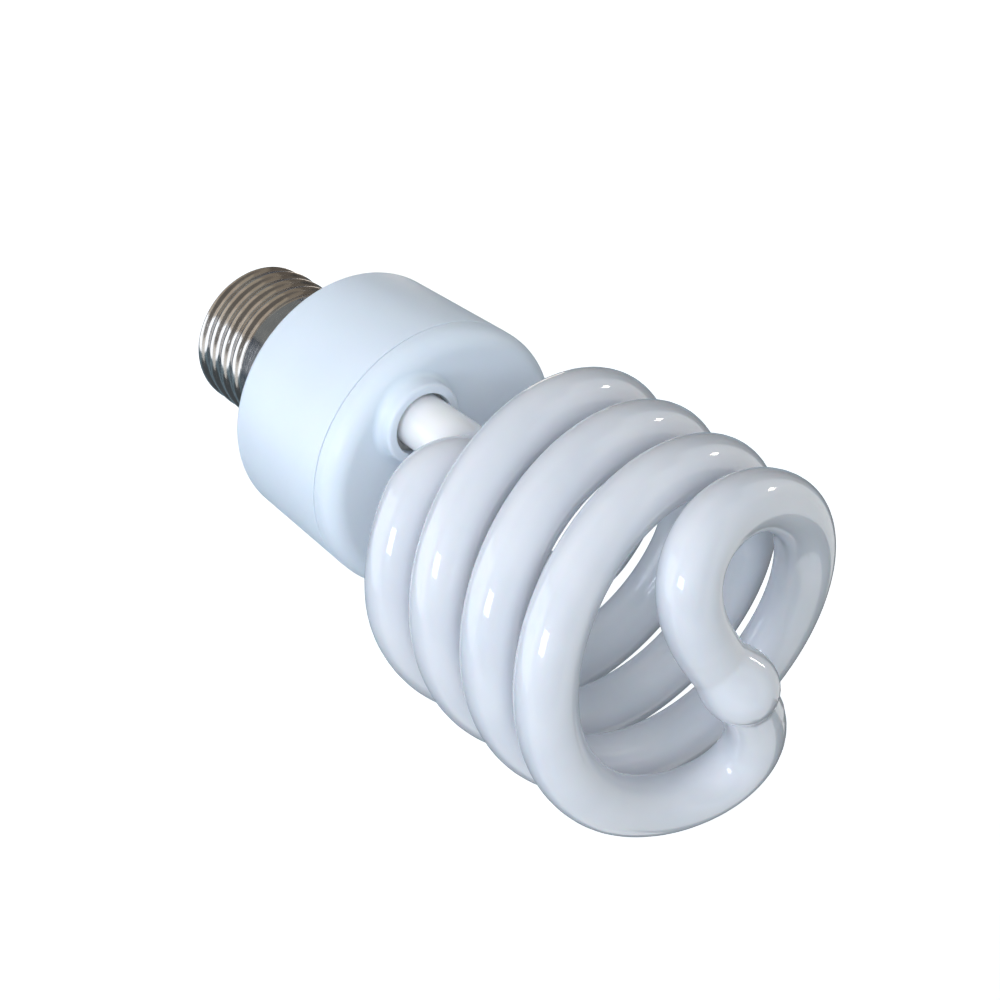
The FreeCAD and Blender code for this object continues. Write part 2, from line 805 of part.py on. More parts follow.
def make_resistors():
    """The fuse resistor in the supply lead, and two start resistors."""
    make_rod("fuse_resistor", "fuse", "fuse_x", "fuse_y")
    for label in ("resistor_1", "resistor_2"):
        make_rod(label, "resistor", label + "_x", label + "_y")


def make_wire(label, points, diameter):
    """A bare wire with sharp bends."""
    start = ring(points[0], points[1] - points[0], diameter)
    sharp_corners = 1
    strand = doc.addObject("Part::Feature", label)
    strand.Shape = Part.makePolygon(points).makePipeShell([start], True, False, sharp_corners)
    keep(strand, label)


def make_cap_leads():
    """Leads from the board to the centre contact and to the screw shell."""
    board_top = cover_top() - size("cover_height") - size("lip_depth") - size("fit_gap")
    underside = board_top - size("board_thickness")
    rivet_end = size("contact_height") + size("rivet_length")
    aside = Vector(size("contact_lead_x"), size("contact_lead_y"), 0)
    under_capacitor = underside - size("capacitor_length") - size("contact_lead_gap")
    make_wire("contact_lead", [
        Vector(0, 0, rivet_end),
        Vector(0, 0, under_capacitor - size("contact_lead_rise")),
        aside + Vector(0, 0, under_capacitor),
        aside + Vector(0, 0, underside),
    ], size("lead_diameter"))
    bore = size("thread_diameter") / 2 - size("thread_depth") - size("shell_sheet")
    spigot_bore = bore - size("fit_gap") - size("spigot_wall")
    insulator_top = size("shell_start") + size("shell_cone") + size("insulator_rim")
    level = insulator_top + size("lead_room") / 2
    spigot_top = size("cap_height") + size("housing_wall")
    across = Vector(size("shell_lead_x"), size("shell_lead_y"), 0)
    outward = Vector(across).normalize()
    inside = outward * (spigot_bore - size("lead_diameter") / 2 - size("shell_lead_gap"))
    make_wire("shell_lead", [
        across + Vector(0, 0, underside),
        across + Vector(0, 0, spigot_top + size("shell_lead_rise")),
        inside + Vector(0, 0, spigot_top),
        inside + Vector(0, 0, level),
        outward * (bore - 2 * size("fit_gap")) + Vector(0, 0, level),
    ], size("lead_diameter"))


def make_tube_leads():
    """Two leads from the sealed end of each leg to their wrap pins."""
    leg_end = cover_top() - size("housing_wall") - size("leg_end_gap")
    for side in (-1, 1):
        for number, sign in enumerate((-1, 1), start=1):
            across = size("tube_shift") + side * size("leg_across") + sign * size("tube_lead_spread") / 2
            depth = side * size("leg_depth")
            reach = size("pin_offset") - size("pin_size") / 2 - size("fit_gap")
            level = leg_end - size("tube_lead_drop")
            make_wire("tube_lead_%s_%d" % ("near" if side < 0 else "far", number), [
                Vector(across, depth, leg_end),
                Vector(across, depth, level),
                Vector(across, depth - side * reach, level),
            ], size("tube_lead_diameter"))


make_screw_shell()
make_base_insulator()
make_centre_contact()
make_housing_body()
make_housing_cover()
make_spiral_tube()
make_tube_cement()
make_circuit_board()
make_wrap_pins()
make_main_capacitor()
make_choke()
make_drive_transformer()
make_transistors()
make_film_capacitors()
make_filter_coil()
make_diodes()
make_resistors()
make_cap_leads()
make_tube_leads()
doc.recompute()

for thing in doc.Objects:
    if "Invalid" in thing.State or "Error" in thing.State:
        raise RuntimeError("%s did not build: %s" % (thing.Label, thing.State))
for piece in parts:
    if piece.Shape.isNull() or not piece.Shape.isValid():
        raise RuntimeError(piece.Label + " has no valid shape")

os.makedirs("parts", exist_ok=True)
for piece in parts:
    piece.Shape.exportStep("parts/%s.step" % piece.Label)
    print("%-22s %2d solid %10.1f mm3" % (piece.Label, len(piece.Shape.Solids), piece.Shape.Volume))
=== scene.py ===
import math

import bmesh
import bpy
from mathutils import Matrix, Vector


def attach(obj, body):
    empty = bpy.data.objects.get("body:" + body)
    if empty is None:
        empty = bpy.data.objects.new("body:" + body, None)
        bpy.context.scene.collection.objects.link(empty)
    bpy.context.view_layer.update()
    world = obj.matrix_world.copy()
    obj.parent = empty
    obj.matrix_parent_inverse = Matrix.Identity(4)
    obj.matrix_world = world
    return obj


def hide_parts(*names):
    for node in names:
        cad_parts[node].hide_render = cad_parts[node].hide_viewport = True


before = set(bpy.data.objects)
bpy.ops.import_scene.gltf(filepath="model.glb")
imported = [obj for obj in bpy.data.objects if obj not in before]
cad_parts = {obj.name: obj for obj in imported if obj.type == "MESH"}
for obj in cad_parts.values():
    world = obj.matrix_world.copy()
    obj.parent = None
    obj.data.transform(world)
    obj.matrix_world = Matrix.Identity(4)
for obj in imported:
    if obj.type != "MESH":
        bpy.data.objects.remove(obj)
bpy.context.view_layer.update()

# Camera
# It looks down on the crown of the lamp from in front, and is rolled until the lamp lies in the picture
# as it does in the photograph. The lamp's own lengths are in millimetres, and MM turns them into metres.
MM = 0.001
camera_place = Vector((-0.12, -243.84, 283.82)) * MM
camera_tilt = math.radians(40.23)
camera_roll = math.radians(34.91)
lens_length, sensor_width = 72.18, 36

forward = Vector((0, math.cos(camera_tilt), -math.sin(camera_tilt)))
level_right = Vector((1, 0, 0))
level_up = level_right.cross(forward)
turn = Matrix.Rotation(-math.radians(90) - camera_roll, 3, forward)


def placed(name, data):
    """A new object in the scene."""
    piece = bpy.data.objects.new(name, data)
    bpy.context.scene.collection.objects.link(piece)
    return piece


camera_data = bpy.data.cameras.new("camera")
camera_data.lens = lens_length
camera_data.sensor_width = sensor_width
camera = placed("camera", camera_data)
axes = Matrix((turn @ level_right, turn @ level_up, -forward)).transposed()
camera.matrix_world = Matrix.Translation(camera_place) @ axes.to_4x4()
bpy.context.scene.camera = camera

# Screw shell
# Thin brass sheet, drawn to a cup, rolled with the coarse screw thread and nickel plated. Its end is
# turned in over the insulator, and its plain skirt is pressed over the neck of the housing.
# Heights start at the face of the centre contact. The thread's root and crest are radii
sheet_thickness = 0.35
shell_mouth_radius = 9.6
shell_start, shell_cone_end, shell_end = 6.2, 8.4, 27.0
thread_root, thread_crest = 12.55, 13.15
skirt_start, skirt_full, skirt_radius, skirt_flare = 20.8, 21.6, 12.7, 0.55
thread_pitch = 3.629
thread_start = 8.95
thread_in = (6.9, 8.3)
mouth_curve = 2.2
weld_distance = 0.002
# Noise mostly stays between these two values
noise_low, noise_high = 0.3, 0.7


def add_node(tree, kind, **settings):
    """A new node in a tree, with its settings."""
    node = tree.nodes.new(kind)
    for name, value in settings.items():
        setattr(node, name, value)
    return node


def new_tree(name, **inputs):
    """An empty geometry tree with a geometry input and output and named number inputs."""
    tree = bpy.data.node_groups.new(name, "GeometryNodeTree")
    tree.interface.new_socket("Geometry", in_out="INPUT", socket_type="NodeSocketGeometry")
    tree.interface.new_socket("Geometry", in_out="OUTPUT", socket_type="NodeSocketGeometry")
    for socket_name, value in inputs.items():
        kind = "NodeSocketInt" if isinstance(value, int) else "NodeSocketFloat"
        label = socket_name.replace("_", " ")
        tree.interface.new_socket(label, in_out="INPUT", socket_type=kind).default_value = value
    return tree


def calculated(tree, operation, *values):
    """One step of arithmetic in a tree, on sockets or plain numbers."""
    node = add_node(tree, "ShaderNodeMath", operation=operation)
    for socket, value in zip(node.inputs, values):
        if isinstance(value, (int, float)):
            socket.default_value = value
        else:
            tree.links.new(value, socket)
    return node.outputs[0]


def between(tree, factor, low, high, start=noise_low, stop=noise_high, **settings):
    """A number that runs from low to high as the factor goes from start to stop."""
    node = add_node(tree, "ShaderNodeMapRange", **settings)
    tree.links.new(factor, node.inputs["Value"])
    for name, value in (("From Min", start), ("From Max", stop), ("To Min", low), ("To Max", high)):
        node.inputs[name].default_value = value
    return node.outputs["Result"]


def eased(tree, value, start, stop):
    """Runs smoothly from 0 to 1 as the value goes from start to stop."""
    return between(tree, value, 0, 1, start, stop, interpolation_type="SMOOTHSTEP")


def handed_out(tree, source, material):
    """Ends a tree: the source's geometry is made real, gets its material and leaves the tree."""
    painted = add_node(tree, "GeometryNodeSetMaterial")
    painted.inputs["Material"].default_value = material
    realized = add_node(tree, "GeometryNodeRealizeInstances")
    chain = [source, realized, painted, add_node(tree, "NodeGroupOutput")]
    for first, second in zip(chain, chain[1:]):
        tree.links.new(first.outputs[0], second.inputs[0])


def baked(source, name, tree):
    """The plain mesh that the tree makes from the source object, which is then removed."""
    source.modifiers.new(name, "NODES").node_group = tree
    evaluated = source.evaluated_get(bpy.context.evaluated_depsgraph_get())
    mesh = bpy.data.meshes.new_from_object(evaluated)
    mesh.name = name
    bpy.data.objects.remove(source)
    return placed(name, mesh)


def smooth(piece, angle=None):
    """Smooth shading all over, or up to an angle between faces."""
    for face in piece.data.polygons:
        face.use_smooth = True
    if angle is not None:
        piece.data.set_sharp_from_angle(angle=math.radians(angle))


def new_material(name, metallic=0.0, roughness=0.5):
    """A material with its node tree and its main shader."""
    material = bpy.data.materials.new(name)
    material.use_nodes = True
    shader = material.node_tree.nodes["Principled BSDF"]
    shader.inputs["Metallic"].default_value = metallic
    shader.inputs["Roughness"].default_value = roughness
    return material, material.node_tree, shader


def fine_noise(tree, scale, detail=3.0, roughness=0.5, stretch=(1, 1, 1)):
    """Noise in the object's own place. The scale is in waves per millimetre."""
    place = add_node(tree, "ShaderNodeTexCoord")
    mapping = add_node(tree, "ShaderNodeMapping")
    mapping.inputs["Scale"].default_value = stretch
    noise = add_node(tree, "ShaderNodeTexNoise")
    noise.inputs["Scale"].default_value = scale / MM
    noise.inputs["Detail"].default_value = detail
    noise.inputs["Roughness"].default_value = roughness
    tree.links.new(place.outputs["Object"], mapping.inputs["Vector"])
    tree.links.new(mapping.outputs["Vector"], noise.inputs["Vector"])
    return noise.outputs["Fac"]


def graded(tree, factor, low, high):
    """A colour that runs from low to high with the noise."""
    ramp = add_node(tree, "ShaderNodeValToRGB")
    for element, position, colour in zip(ramp.color_ramp.elements, (noise_low, noise_high), (low, high)):
        element.position = position
        element.color = (*colour, 1)
    tree.links.new(factor, ramp.inputs["Fac"])
    return ramp.outputs["Color"]


def bumped(tree, shader, height, depth, strength):
    """Raises the surface by up to the depth, in millimetres."""
    bump = add_node(tree, "ShaderNodeBump")
    bump.inputs["Distance"].default_value = depth * MM
    bump.inputs["Strength"].default_value = strength
    tree.links.new(height, bump.inputs["Height"])
    tree.links.new(bump.outputs["Normal"], shader.inputs["Normal"])


# Nickel plate with fine lines from rolling and a few dull patches from handling
nickel_plate, tree, shader = new_material("nickel_plate", metallic=1.0)
handled = fine_noise(tree, 0.12, 4.0, 0.6)
plate_colour = graded(tree, handled, (0.50, 0.46, 0.42), (0.62, 0.59, 0.55))
tree.links.new(plate_colour, shader.inputs["Base Color"])
tree.links.new(between(tree, handled, 0.11, 0.19), shader.inputs["Roughness"])
bumped(tree, shader, fine_noise(tree, 0.5, 2.0, stretch=(1, 1, 6)), 0.03, 0.35)

shell_tree = new_tree(
    "rolled_shell", Root=thread_root * MM, Crest=thread_crest * MM, Pitch=thread_pitch * MM,
    Sheet=sheet_thickness * MM, Around=240, Rows=150)
inside = add_node(shell_tree, "NodeGroupInput").outputs


def worked(operation, *values):
    """One step of arithmetic in the shell's tree."""
    return calculated(shell_tree, operation, *values)


grid = add_node(shell_tree, "GeometryNodeMeshGrid")
grid.inputs["Size X"].default_value = grid.inputs["Size Y"].default_value = 1.0
all_rows = worked("MULTIPLY_ADD", inside["Rows"], 2, 3)
shell_tree.links.new(worked("ADD", inside["Around"], 1), grid.inputs["Vertices X"])
shell_tree.links.new(all_rows, grid.inputs["Vertices Y"])
flat = add_node(shell_tree, "ShaderNodeSeparateXYZ")
shell_tree.links.new(add_node(shell_tree, "GeometryNodeInputPosition").outputs[0], flat.inputs[0])
# Rows go up the outside of the sheet, down its inside and back to the first row at the mouth
row = worked("MULTIPLY", worked("ADD", flat.outputs["Y"], 0.5), worked("SUBTRACT", all_rows, 1))
row = worked("ROUND", row)
is_inner = worked("GREATER_THAN", row, worked("ADD", inside["Rows"], 0.5))
is_last = worked("GREATER_THAN", row, worked("MULTIPLY_ADD", inside["Rows"], 2, 1.5))
is_inner = worked("SUBTRACT", is_inner, is_last)
down_row = worked("SUBTRACT", worked("MULTIPLY_ADD", inside["Rows"], 2, 1), row)
share = worked("DIVIDE", worked("MINIMUM", row, down_row), inside["Rows"])
share = worked("MAXIMUM", share, 0)
height = worked("MULTIPLY_ADD", share, (shell_end - shell_start) * MM, shell_start * MM)
angle = worked("MULTIPLY", flat.outputs["X"], math.tau)
# The thread is a wave along the axis that moves up one pitch in each turn
wave = worked("DIVIDE", worked("SUBTRACT", height, thread_start * MM), inside["Pitch"])
wave = worked("SUBTRACT", wave, worked("DIVIDE", angle, math.tau))
wave = worked("COSINE", worked("MULTIPLY", wave, math.tau))
wave = worked("MULTIPLY_ADD", wave, 0.5, 0.5)
wave = worked("MULTIPLY", wave, eased(shell_tree, height, thread_in[0] * MM, thread_in[1] * MM))
depth = worked("SUBTRACT", inside["Crest"], inside["Root"])
radius = worked("MULTIPLY_ADD", wave, depth, inside["Root"])
# The mouth curves in over the insulator
mouth = worked("SUBTRACT", height, shell_start * MM)
mouth = worked("DIVIDE", mouth, (shell_cone_end - shell_start) * MM)
mouth = worked("SUBTRACT", 1, worked("MINIMUM", mouth, 1))
mouth = worked("POWER", mouth, mouth_curve)
mouth = worked("MULTIPLY", mouth, (shell_mouth_radius - thread_root) * MM)
radius = worked("ADD", radius, mouth)
# The skirt takes over from the thread and flares a little towards the housing
flare = worked("SUBTRACT", height, skirt_start * MM)
flare = worked("MULTIPLY_ADD", flare, skirt_flare / (shell_end - skirt_start), skirt_radius * MM)
skirt = eased(shell_tree, height, skirt_start * MM, skirt_full * MM)
radius = worked("MULTIPLY_ADD", skirt, worked("SUBTRACT", flare, radius), radius)
radius = worked("SUBTRACT", radius, worked("MULTIPLY", is_inner, inside["Sheet"]))
place = add_node(shell_tree, "ShaderNodeCombineXYZ")
shell_tree.links.new(worked("MULTIPLY", radius, worked("COSINE", angle)), place.inputs[0])
shell_tree.links.new(worked("MULTIPLY", radius, worked("SINE", angle)), place.inputs[1])
shell_tree.links.new(height, place.inputs[2])
rolled = add_node(shell_tree, "GeometryNodeSetPosition")
joined = add_node(shell_tree, "GeometryNodeMergeByDistance")
joined.inputs["Distance"].default_value = weld_distance * MM
shell_tree.links.new(grid.outputs["Mesh"], rolled.inputs["Geometry"])
shell_tree.links.new(place.outputs[0], rolled.inputs["Position"])
shell_tree.links.new(rolled.outputs["Geometry"], joined.inputs["Geometry"])
handed_out(shell_tree, joined, nickel_plate)


def facing_out(piece):
    """Turns every face of a closed mesh outwards."""
    mesh = bmesh.new()
    mesh.from_mesh(piece.data)
    bmesh.ops.recalc_face_normals(mesh, faces=mesh.faces)
    mesh.to_mesh(piece.data)
    mesh.free()


def coat(mesh, material):
    """Makes the material the mesh's only one."""
    mesh.materials.clear()
    mesh.materials.append(material)


def finish_piece(piece, material, node):
    """Gives a piece its material, hides the node it stands in for and hangs the piece on the root body.
    """
    coat(piece.data, material)
    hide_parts(node)
    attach(piece, "root")


blank = placed("shell_blank", bpy.data.meshes.new("shell_blank"))
threaded_shell = baked(blank, "threaded_shell", shell_tree)
facing_out(threaded_shell)
smooth(threaded_shell, 50)
finish_piece(threaded_shell, nickel_plate, "screw_shell")

# Base insulator
# A dished disc of black glass, pressed hot into the end of the shell. It keeps the centre contact off
# the shell, and its slope shows fine ripples from the mould.


def rounded(corners, steps=6):
    """Outline through corners that each give a radius, a height and a rounding."""
    points = []
    count = len(corners)
    for index, (across, along, rounding) in enumerate(corners):
        corner = Vector((across, along))
        if rounding == 0:
            points.append(corner)
            continue
        before = Vector(corners[index - 1][:2]) - corner
        after = Vector(corners[(index + 1) % count][:2]) - corner
        half = before.angle(after) / 2
        reach = rounding / math.tan(half)
        inward = (before.normalized() + after.normalized()).normalized()
        centre = corner + inward * rounding / math.sin(half)
        start = corner + before.normalized() * reach - centre
        stop = corner + after.normalized() * reach - centre
        sweep = start.angle_signed(stop)
        for step in range(steps + 1):
            spoke = start.copy()
            spoke.rotate(Matrix.Rotation(-sweep * step / steps, 2))
            points.append(centre + spoke)
    return points


def lathed(name, outline, sides=160, centre=(0.0, 0.0)):
    """Turns a closed outline of radius and height about an upright axis. Points on the axis are poles."""
    mesh = bmesh.new()
    rings = []
    for across, along in outline:
        if abs(across) < 1e-6:
            rings.append([mesh.verts.new((centre[0] * MM, centre[1] * MM, along * MM))])
            continue
        loop = []
        for side in range(sides):
            angle = math.tau * side / sides
            x = centre[0] + across * math.cos(angle)
            y = centre[1] + across * math.sin(angle)
            loop.append(mesh.verts.new((x * MM, y * MM, along * MM)))
        rings.append(loop)
    for first, second in zip(rings, rings[1:] + rings[:1]):
        if len(first) == 1 and len(second) == 1:
            continue
        for side in range(sides):
            following = (side + 1) % sides
            corners = [first[side % len(first)], second[side % len(second)]]
            corners += [second[following % len(second)], first[following % len(first)]]
            mesh.faces.new(list(dict.fromkeys(corners)))
    bmesh.ops.recalc_face_normals(mesh, faces=mesh.faces)
    data = bpy.data.meshes.new(name)
    mesh.to_mesh(data)
    mesh.free()
    return placed(name, data)


glass_ior = 1.52
black_glass, tree, shader = new_material("black_glass", roughness=0.16)
glass_colour = graded(tree, fine_noise(tree, 0.3), (0.012, 0.011, 0.013), (0.028, 0.025, 0.030))
tree.links.new(glass_colour, shader.inputs["Base Color"])
shader.inputs["IOR"].default_value = glass_ior
bumped(tree, shader, fine_noise(tree, 0.35, 2.0), 0.08, 0.6)

rivet_hole, glass_face, glass_floor, glass_rim = 1.2, 1.8, 5.2, 9.6
shell_bore, inner_bore = 11.65, 10.15
insulator_glass = lathed("insulator_glass", rounded([
    (rivet_hole, glass_face, 0.0),
    (5.3, glass_face, 0.3),
    (9.15, 6.2, 0.6),
    (shell_bore, 8.4, 0.2),
    (shell_bore, glass_rim, 0.2),
    (inner_bore, glass_rim, 0.3),
    (4.8, glass_floor, 0.8),
    (rivet_hole, glass_floor, 0.0),
]))
smooth(insulator_glass, 40)
finish_piece(insulator_glass, black_glass, "base_insulator")

# Centre contact
# A stamped brass button with a rounded edge and a rivet that goes through the glass. Use has left it
# uneven in colour and gloss.
button_brass, tree, shader = new_material("button_brass", metallic=1.0)
worn = fine_noise(tree, 0.5, 4.0, 0.6)
button_colour = graded(tree, worn, (0.52, 0.46, 0.38), (0.66, 0.62, 0.55))
tree.links.new(button_colour, shader.inputs["Base Color"])
tree.links.new(between(tree, worn, 0.25, 0.5), shader.inputs["Roughness"])
bumped(tree, shader, fine_noise(tree, 1.2, 3.0), 0.04, 0.6)

button_radius, rivet_radius, rivet_end = 4.8, 1.1, 4.4
button_sides = 96
contact_disc = lathed("contact_disc", rounded([
    (0.0, 0.0, 0.0),
    (3.3, 0.0, 1.2),
    (button_radius, 1.0, 0.6),
    (button_radius, glass_face, 0.15),
    (rivet_radius, glass_face, 0.1),
    (rivet_radius, rivet_end, 0.2),
    (0.0, rivet_end, 0.0),
]), button_sides)
smooth(contact_disc, 40)
finish_piece(contact_disc, button_brass, "centre_contact")

# Housing body
# A hollow cone of white heat-proof plastic, moulded in one piece. Its spigot stands in the screw shell,
# three ribs inside carry the board, and its upper edge stops just short of the cover at the seam.
housing_plastic, tree, shader = new_material("housing_plastic", roughness=0.38)
shade = fine_noise(tree, 0.05, 2.0)
body_colour = graded(tree, shade, (0.723, 0.801, 0.892), (0.751, 0.831, 0.918))
tree.links.new(body_colour, shader.inputs["Base Color"])
tree.links.new(between(tree, fine_noise(tree, 0.9, 4.0), 0.33, 0.43), shader.inputs["Roughness"])
shader.inputs["Subsurface Weight"].default_value = 0.08
shader.inputs["Subsurface Scale"].default_value = 1.0 * MM
bumped(tree, shader, fine_noise(tree, 2.4, 3.0), 0.02, 0.5)

housing_radius, housing_bore, neck_radius = 23.45, 21.85, 12.35
spigot_end = 13.0
seam_level, seam_gap = 59.5, 0.22
body_top = seam_level - seam_gap / 2
housing_sides = 240
moulded_body = lathed("moulded_body", rounded([
    (shell_bore, spigot_end, 0.3),
    (shell_bore, 24.4, 0.2),
    (neck_radius, 25.2, 0.2),
    (neck_radius, shell_end, 0.05),
    (13.7, shell_end, 0.45),
    (22.8, 36.0, 1.3),
    (housing_radius, body_top, 0.15),
    (housing_bore, body_top, 0.15),
    (21.2, 37.6, 0.6),
    (inner_bore, 28.6, 0.4),
    (inner_bore, spigot_end, 0.3),
]), housing_sides)

rib_count, rib_width, rib_inner, rib_outer, rib_low, rib_high = 3, 1.4, 20.0, 22.2, 39.0, 54.8
rib_size = Vector((rib_outer - rib_inner, rib_width, rib_high - rib_low)) * MM
rib_middle = Vector(((rib_inner + rib_outer) / 2, 0, (rib_low + rib_high) / 2)) * MM
mesh = bmesh.new()
mesh.from_mesh(moulded_body.data)
for index in range(rib_count):
    made = bmesh.ops.create_cube(mesh, size=1.0)["verts"]
    bmesh.ops.scale(mesh, verts=made, vec=rib_size)
    bmesh.ops.translate(mesh, verts=made, vec=rib_middle)
    around = Matrix.Rotation(math.tau / rib_count * index, 3, "Z")
    bmesh.ops.rotate(mesh, verts=made, matrix=around)
mesh.to_mesh(moulded_body.data)
mesh.free()
smooth(moulded_body, 35)
finish_piece(moulded_body, housing_plastic, "housing_body")

# Ballast
# A round brown board carries the parts that start and feed the lamp. Each part is soldered by its
# leads and hangs into the cone, where nothing of it is seen once the cover is on.


def dress(node_names, material):
    """Gives carried-over nodes their material."""
    for name in node_names:
        coat(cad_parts[name].data, material)


def plain_finish(name, low, high, scale, roughness, depth, metallic=0.0, stretch=(1, 1, 1)):
    """A finish with uneven colour, uneven gloss and a fine raised grain."""
    material, tree, shader = new_material(name, metallic)
    grain = fine_noise(tree, scale, 4.0, 0.55, stretch)
    tree.links.new(graded(tree, grain, low, high), shader.inputs["Base Color"])
    tree.links.new(between(tree, grain, roughness - 0.06, roughness + 0.06), shader.inputs["Roughness"])
    bumped(tree, shader, grain, depth, 0.6)
    return material


dress(
    ["circuit_board"],
    plain_finish("board_resin", (0.42, 0.26, 0.12), (0.52, 0.34, 0.17), 1.6, 0.55, 0.05))
dress(
    ["wrap_pin_1", "wrap_pin_2", "wrap_pin_3", "wrap_pin_4", "contact_lead", "shell_lead",
     "tube_lead_near_1", "tube_lead_near_2", "tube_lead_far_1", "tube_lead_far_2"],
    plain_finish("tinned_wire", (0.60, 0.60, 0.60), (0.78, 0.77, 0.75), 2.0, 0.32, 0.02, 1.0))
dress(
    ["main_capacitor"],
    plain_finish("capacitor_sleeve", (0.012, 0.012, 0.016), (0.030, 0.030, 0.036), 0.6, 0.35, 0.03))
dress(
    ["choke_core", "drive_ring"],
    plain_finish("ferrite", (0.045, 0.042, 0.042), (0.085, 0.080, 0.078), 2.5, 0.60, 0.05))
dress(
    ["choke_bobbin"],
    plain_finish("bobbin_plastic", (0.66, 0.62, 0.52), (0.74, 0.70, 0.60), 0.8, 0.48, 0.03))
dress(
    ["choke_winding", "drive_winding_1", "drive_winding_2", "drive_winding_3"],
    plain_finish(
        "winding_wire", (0.42, 0.13, 0.04), (0.62, 0.24, 0.09), 1.4, 0.30, 0.10, 1.0, (1, 1, 9)))
dress(
    ["transistor_1", "transistor_2", "filter_coil", "diode_1", "diode_2", "diode_3", "diode_4"],
    plain_finish("component_black", (0.016, 0.016, 0.017), (0.040, 0.040, 0.041), 3.0, 0.55, 0.03))
dress(
    ["resonance_capacitor", "coupling_capacitor"],
    plain_finish("film_capacitor", (0.05, 0.16, 0.09), (0.08, 0.23, 0.13), 0.7, 0.28, 0.08))
dress(
    ["fuse_resistor", "resistor_1", "resistor_2"],
    plain_finish("resistor_coat", (0.45, 0.33, 0.19), (0.56, 0.43, 0.26), 1.5, 0.42, 0.04))

# Housing cover
# A white moulded cap with a rounded shoulder. Its lip snaps inside the body, and two collars stand on
# its face, each blended into it by a soft foot, with a bore for one leg of the tube.
cover_top, cover_underside, shoulder_round = 64.2, 62.6, 3.2
cover_bottom = seam_level + seam_gap / 2
lip_end, lip_inner, lip_outer = 56.5, 20.55, 21.75
collar_centres = [(-3.05, -13.3), (7.05, 13.3)]
collar_radius, collar_bore, collar_top, collar_skirt = 7.0, 5.35, 67.2, 61.1
collar_round = 0.6
collar_sides = 128
# The foot reaches 1.3 mm from the collar's wall, and less where the cover's shoulder is near
foot_reach, foot_shortest, foot_step = 1.3, 0.15, 0.05
foot_limit = 22.5
# The foot's outline starts under the face and stops short of the rim's round
foot_end, foot_root, foot_sink, rim_room = 63.2, 0.3, 0.01, 0.05
hole_radius, hole_low, hole_high, hole_sides = 6.4, 60, 66, 96

moulded_cover = lathed("moulded_cover", rounded([
    (0.0, cover_underside, 0.0),
    (lip_inner, cover_underside, 0.3),
    (lip_inner, lip_end, 0.15),
    (lip_outer, lip_end, 0.3),
    (lip_outer, cover_bottom, 0.1),
    (housing_radius, cover_bottom, 0.15),
    (housing_radius, cover_top, shoulder_round),
    (housing_radius - shoulder_round - 0.3, cover_top, 0.0),
    (0.0, cover_top, 0.0),
], 14), housing_sides)


def cut_from(piece, cutter):
    """Takes the cutter's shape out of a piece."""
    cut = piece.modifiers.new("bore", "BOOLEAN")
    cut.operation = "DIFFERENCE"
    cut.solver = "EXACT"
    cut.object = cutter
    evaluated = piece.evaluated_get(bpy.context.evaluated_depsgraph_get())
    old = piece.data
    piece.data = bpy.data.meshes.new_from_object(evaluated)
    piece.modifiers.clear()
    bpy.data.meshes.remove(old)
    bpy.data.objects.remove(cutter)


hole = [(0, hole_low), (hole_radius, hole_low), (hole_radius, hole_high), (0, hole_high)]
for centre in collar_centres:
    cut_from(moulded_cover, lathed("bore", hole, hole_sides, centre))


def face_height(across, depth):
    """Height of the cover's face, with its rounded shoulder."""
    past = math.hypot(across, depth) - (housing_radius - shoulder_round)
    if past <= 0:
        return cover_top
    return cover_top - shoulder_round + math.sqrt(max(shoulder_round ** 2 - past ** 2, 0))


def foot_line(centre, spoke):
    """Outline of a collar's wall in one direction, from the foot on the face up to the rim."""
    reach = foot_reach
    while (centre + spoke * (collar_radius + reach)).length > foot_limit and reach > foot_shortest:
        reach -= foot_step
    height = face_height(*(centre + spoke * (collar_radius + reach)))
    beyond = 0.02
    slope = (face_height(*(centre + spoke * (collar_radius + reach + beyond))) - height) / beyond
    corner = Vector((collar_radius, height - slope * reach))
    start = Vector((collar_radius + reach, height - foot_sink))
    stop = Vector((collar_radius, min(corner.y + reach, collar_top - collar_round - rim_room)))
    line = [Vector((collar_radius, foot_end)), Vector((start.x, min(start.y - foot_root, foot_end)))]
    for step in range(11):
        share = step / 10
        line.append(start * (1 - share) ** 2 + corner * 2 * share * (1 - share) + stop * share ** 2)
    return line


mesh = bmesh.new()
mesh.from_mesh(moulded_cover.data)
# The first corner only gives the rim's round its direction
rim_line = rounded([
    (collar_radius, collar_top - 3, 0.0),
    (collar_radius, collar_top, collar_round),
    (collar_bore, collar_top, 0.3),
    (collar_bore, collar_skirt, 0.15),
    (collar_radius, collar_skirt, 0.15),
], 8)[1:]
for centre in map(Vector, collar_centres):
    loops = []
    for side in range(collar_sides):
        angle = math.tau * side / collar_sides
        spoke = Vector((math.cos(angle), math.sin(angle)))
        loop = []
        for point in foot_line(centre, spoke) + rim_line:
            flat_place = centre + spoke * point.x
            loop.append(mesh.verts.new((flat_place.x * MM, flat_place.y * MM, point.y * MM)))
        loops.append(loop)
    made = []
    for first, second in zip(loops, loops[1:] + loops[:1]):
        for index in range(len(first)):
            following = (index + 1) % len(first)
            corners = (first[index], first[following], second[following], second[index])
            made.append(mesh.faces.new(corners))
    bmesh.ops.recalc_face_normals(mesh, faces=made)
mesh.to_mesh(moulded_cover.data)
mesh.free()
smooth(moulded_cover, 35)
finish_piece(moulded_cover, housing_plastic, "housing_cover")

